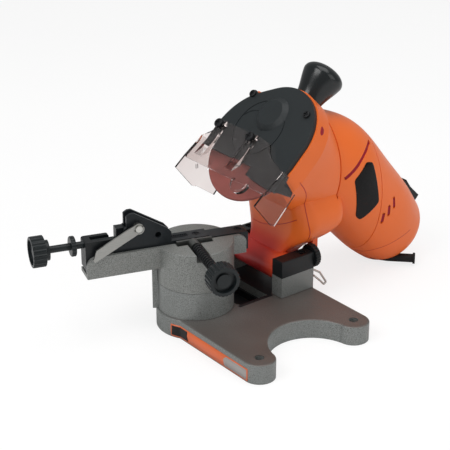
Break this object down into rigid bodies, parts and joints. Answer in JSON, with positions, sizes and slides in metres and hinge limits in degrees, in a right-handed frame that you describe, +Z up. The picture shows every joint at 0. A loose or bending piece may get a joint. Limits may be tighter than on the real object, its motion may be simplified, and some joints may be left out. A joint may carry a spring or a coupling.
{
  "type": "electric chainsaw sharpener",
  "caption": "Bench-mounted electric chain grinder with tilting motor head, disc under a clear guard, and a swivelling chain vise with a stop pawl.",
  "frame": {"origin": "on the swivel axis of the chain vise, at the underside of the base", "axes": "+Z up, +X from the vise to the two bench-bolt lobes, +Y towards the motor"},
  "size_m": [0.1775, 0.3921, 0.2068],
  "materials": {
    "cast_alloy": "silver-grey hammered paint on a die casting",
    "black_plastic": "moulded black plastic",
    "orange_plastic": "moulded orange housing plastic",
    "cover_black": "charcoal disc cover",
    "clear_plastic": "clear moulded guard",
    "abrasive": "reddish brown vitrified abrasive",
    "bright_steel": "bright steel",
    "black_steel": "blackened steel",
    "rubber_black": "black rubber",
    "copper_coil": "varnished copper winding"
  },
  "bodies": {
    "base": {"base_casting": "cast_alloy", "dust_tray": "black_plastic", "hinge_cap_left": "black_plastic", "hinge_cap_right": "black_plastic", "cap_screws": "black_steel", "hinge_pin": "bright_steel", "return_spring": "bright_steel"},
    "depth_stop": {"depth_wheel": "black_plastic"},
    "vise": {"vise_turret": "cast_alloy", "swivel_bolt": "bright_steel", "lock_washer": "bright_steel", "rail_body": "black_steel", "rail_screws": "black_steel", "end_block": "black_plastic"},
    "angle_knob": {"angle_lock_knob": "black_plastic"},
    "jaw": {"front_jaw": "bright_steel", "clamp_spring": "black_steel"},
    "clamp": {"clamp_screw": "black_plastic"},
    "carrier": {"stop_carrier": "black_steel", "pawl_pin": "bright_steel"},
    "feed": {"feed_screw": "black_plastic"},
    "feed_nut": {"lock_nut": "black_plastic"},
    "pawl": {"stop_pawl": "bright_steel"},
    "head": {"front_housing": "orange_plastic", "rear_housing": "orange_plastic", "gear_plate": "cast_alloy", "disc_cover": "cover_black", "cover_screws": "black_steel", "shield_screws": "black_plastic", "handle": "black_plastic", "spindle_bearing": "bright_steel", "small_bearings": "bright_steel", "field_stator": "bright_steel", "brush_holders": "copper_coil", "switch_frame": "black_plastic", "cord_guard": "rubber_black"},
    "shield_guard": {"shield": "clear_plastic"},
    "disc": {"spindle": "bright_steel", "grinding_disc": "abrasive", "outer_flange": "bright_steel", "spindle_nut": "bright_steel", "drive_gear": "bright_steel"},
    "rotor": {"armature": "bright_steel"},
    "rocker": {"switch_rocker": "black_plastic"}
  },
  "joints": [
    {"name": "head_hinge", "type": "hinge", "parent": "base", "child": "head", "pos_m": [0, 0.078, 0.0365], "axis": [1, 0, 0], "range_deg": [0, 22], "stiffness_Nm_per_rad": 1.2, "springref_deg": -20.05},
    {"name": "depth_turn", "type": "hinge", "parent": "base", "child": "depth_stop", "pos_m": [0.0335, 0.1, 0.0455], "axis": [0, 1, 0], "range_deg": [-180, 180]},
    {"name": "vise_swivel", "type": "hinge", "parent": "base", "child": "vise", "pos_m": [0, 0, 0.042], "axis": [0, 0, 1], "range_deg": [-17.5, 52.5]},
    {"name": "angle_knob_turn", "type": "hinge", "parent": "vise", "child": "angle_knob", "pos_m": [0, 0, 0.006], "axis": [0, 0, 1], "range_deg": [-180, 0]},
    {"name": "jaw_slide", "type": "slide", "parent": "vise", "child": "jaw", "axis": [0.9537, -0.3007, 0], "range_m": [-0.0009, 0.0024]},
    {"name": "clamp_turn", "type": "hinge", "parent": "jaw", "child": "clamp", "pos_m": [0.0646, -0.02456, 0.0763], "axis": [0.9537, -0.3007, 0], "range_deg": [-324, 864]},
    {"name": "carrier_slide", "type": "slide", "parent": "vise", "child": "carrier", "axis": [0.3007, 0.9537, 0], "range_m": [-0.0034, 0.0064]},
    {"name": "feed_turn", "type": "hinge", "parent": "carrier", "child": "feed", "pos_m": [-0.03832, -0.10325, 0.0855], "axis": [0.3007, 0.9537, 0], "range_deg": [-1224, 2304]},
    {"name": "lock_nut_turn", "type": "hinge", "parent": "feed", "child": "feed_nut", "pos_m": [-0.03652, -0.09753, 0.0855], "axis": [0.3007, 0.9537, 0], "range_deg": [-180, 180]},
    {"name": "pawl_hinge", "type": "hinge", "parent": "carrier", "child": "pawl", "pos_m": [-0.01028, -0.05023, 0.098], "axis": [0.9537, -0.3007, 0], "range_deg": [-222, 0]},
    {"name": "shield_slide", "type": "slide", "parent": "head", "child": "shield_guard", "axis": [0, 0.6947, 0.7193], "range_m": [0, 0.006]},
    {"name": "spindle_spin", "type": "hinge", "parent": "head", "child": "disc", "pos_m": [0.002, 0.0651, 0.1439], "axis": [0, -0.7193, 0.6947], "continuous": true},
    {"name": "armature_spin", "type": "hinge", "parent": "head", "child": "rotor", "pos_m": [0.002, 0.14493, 0.10852], "axis": [0, -0.7193, 0.6947], "continuous": true},
    {"name": "switch_rock", "type": "hinge", "parent": "head", "child": "rocker", "pos_m": [0.002, 0.24689, 0.06079], "axis": [1, 0, 0], "range_deg": [0, 14]}
  ],
  "couplings": [
    {"joint": "clamp_turn", "follows": "jaw_slide", "rad_per_m": 6283.2},
    {"joint": "feed_turn", "follows": "carrier_slide", "rad_per_m": 6283.2},
    {"joint": "armature_spin", "follows": "spindle_spin", "ratio": -2.3333}
  ]
}
